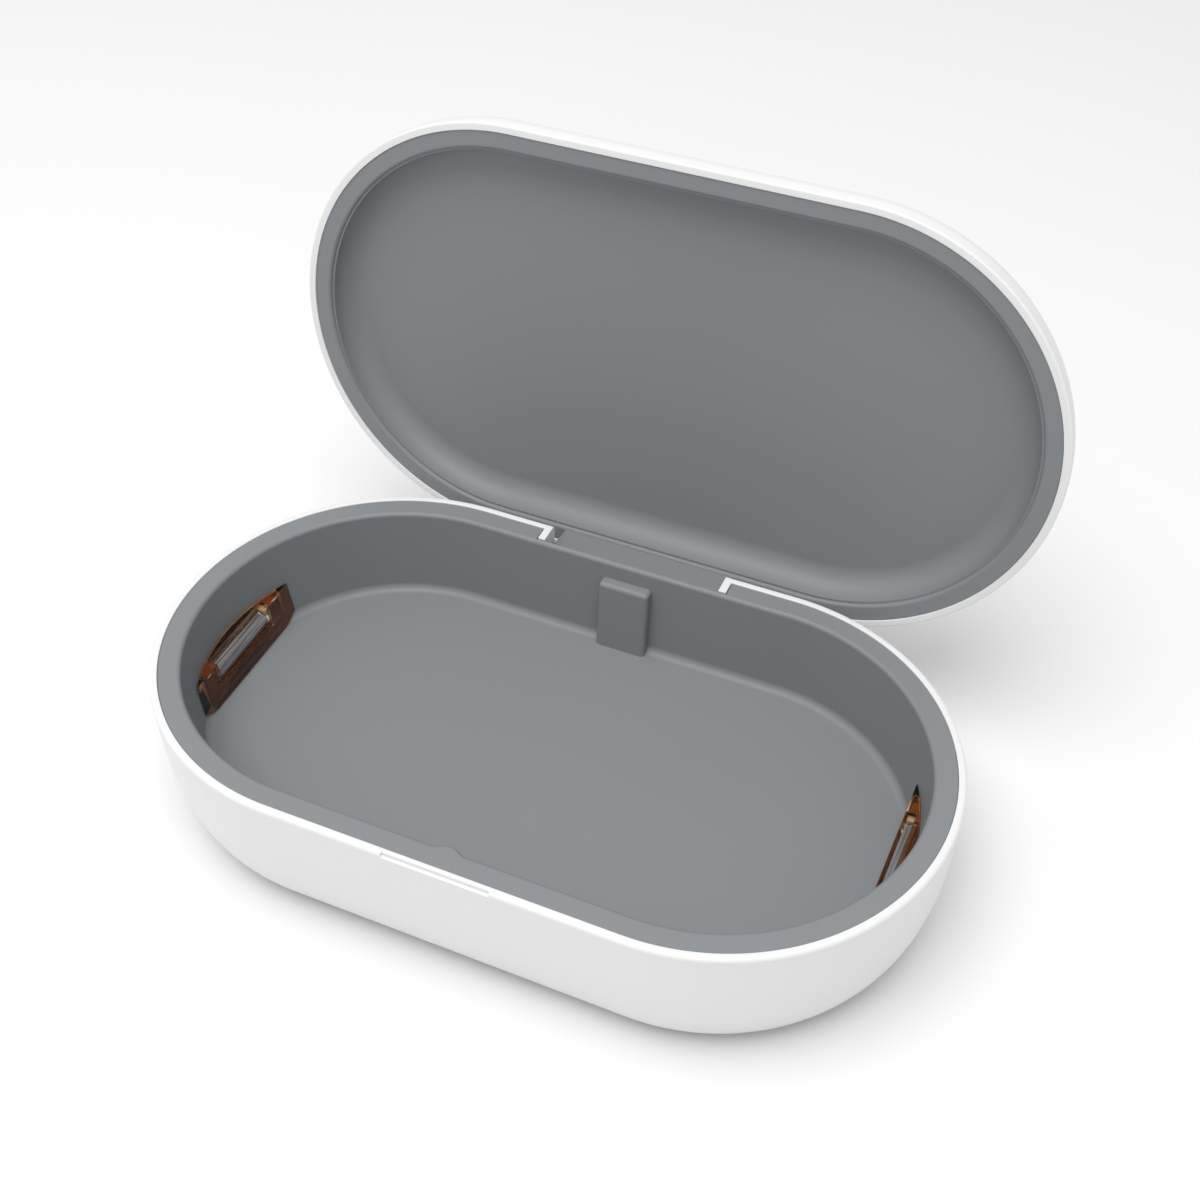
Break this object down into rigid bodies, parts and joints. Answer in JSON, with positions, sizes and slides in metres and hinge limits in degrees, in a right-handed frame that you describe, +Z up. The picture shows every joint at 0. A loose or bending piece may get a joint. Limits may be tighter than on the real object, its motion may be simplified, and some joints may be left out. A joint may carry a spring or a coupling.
{
  "type": "uv sanitizer box for phones",
  "caption": "Obround table-top box with a hinged lid, a grey cavity for a phone between two amber lamp windows, a start button in the lid and a power inlet at the back.",
  "frame": {"origin": "centre of the foot pad's flat underside, on the surface that the box stands on", "axes": "+X along the box's length to the right, +Y to the back where the hinge is, +Z up"},
  "size_m": [0.221, 0.161, 0.1563],
  "materials": {
    "white_shell": "white, softly glossy moulding",
    "grey_liner": "cool grey satin moulding",
    "rubber": "dark grey matt rubber",
    "amber_window": "clear amber moulding",
    "lamp_glass": "clear quartz tube",
    "cream_moulding": "cream heat-proof moulding",
    "bright_sheet": "polished sheet",
    "plated_steel": "plated steel",
    "magnet": "nickel plate",
    "board": "green board laminate",
    "ferrite": "dark sintered ferrite",
    "winding": "copper winding under yellow tape",
    "black_moulding": "black moulding",
    "light_guide": "translucent pale moulding",
    "ribbon": "amber ribbon film",
    "lead_sheath": "red sheath"
  },
  "bodies": {
    "base": {"base_shell": "white_shell", "base_liner": "grey_liner", "bottom_cover": "white_shell", "foot_pad": "rubber", "cover_screw_1": "plated_steel", "cover_screw_2": "plated_steel", "cover_screw_3": "plated_steel", "cover_screw_4": "plated_steel", "lamp_window_left": "amber_window", "lamp_window_right": "amber_window", "lamp_tube_left": "lamp_glass", "lamp_tube_right": "lamp_glass", "lamp_holder_left_front": "cream_moulding", "lamp_holder_left_rear": "cream_moulding", "lamp_holder_right_front": "cream_moulding", "lamp_holder_right_rear": "cream_moulding", "reflector_left": "bright_sheet", "reflector_right": "bright_sheet", "lamp_lead_left_front": "lead_sheath", "lamp_lead_left_rear": "lead_sheath", "lamp_lead_right_front": "lead_sheath", "lamp_lead_right_rear": "lead_sheath", "lamp_connector_left": "cream_moulding", "lamp_connector_right": "cream_moulding", "driver_board": "board", "board_screw_1": "plated_steel", "board_screw_2": "plated_steel", "board_screw_3": "plated_steel", "board_screw_4": "plated_steel", "transformer_core": "ferrite", "transformer_coil": "winding", "capacitor_1": "black_moulding", "capacitor_2": "black_moulding", "driver_chip": "black_moulding", "power_inlet": "plated_steel", "lid_sensor": "board", "catch_magnet": "magnet", "hinge_pin_left": "plated_steel", "hinge_pin_right": "plated_steel"},
    "lid": {"lid_shell": "white_shell", "lid_liner": "grey_liner", "hinge_leaf": "grey_liner", "hinge_screw_left": "plated_steel", "hinge_screw_right": "plated_steel", "lid_magnet_front": "magnet", "lid_magnet_rear": "magnet", "lid_board": "board", "button_switch": "black_moulding", "lid_ribbon": "ribbon", "light_ring": "light_guide"},
    "button": {"start_button": "white_shell"}
  },
  "joints": [
    {"name": "lid_hinge", "type": "hinge", "parent": "base", "child": "lid", "pos_m": [0, 0.0599, 0.0354], "axis": [1, 0, 0], "range_deg": [0, 96.7]},
    {"name": "start_press", "type": "slide", "parent": "lid", "child": "button", "axis": [0, -0.9932, 0.1167], "range_m": [0, 0.0005], "stiffness_N_per_m": 1500, "springref_m": -0.0005}
  ]
}
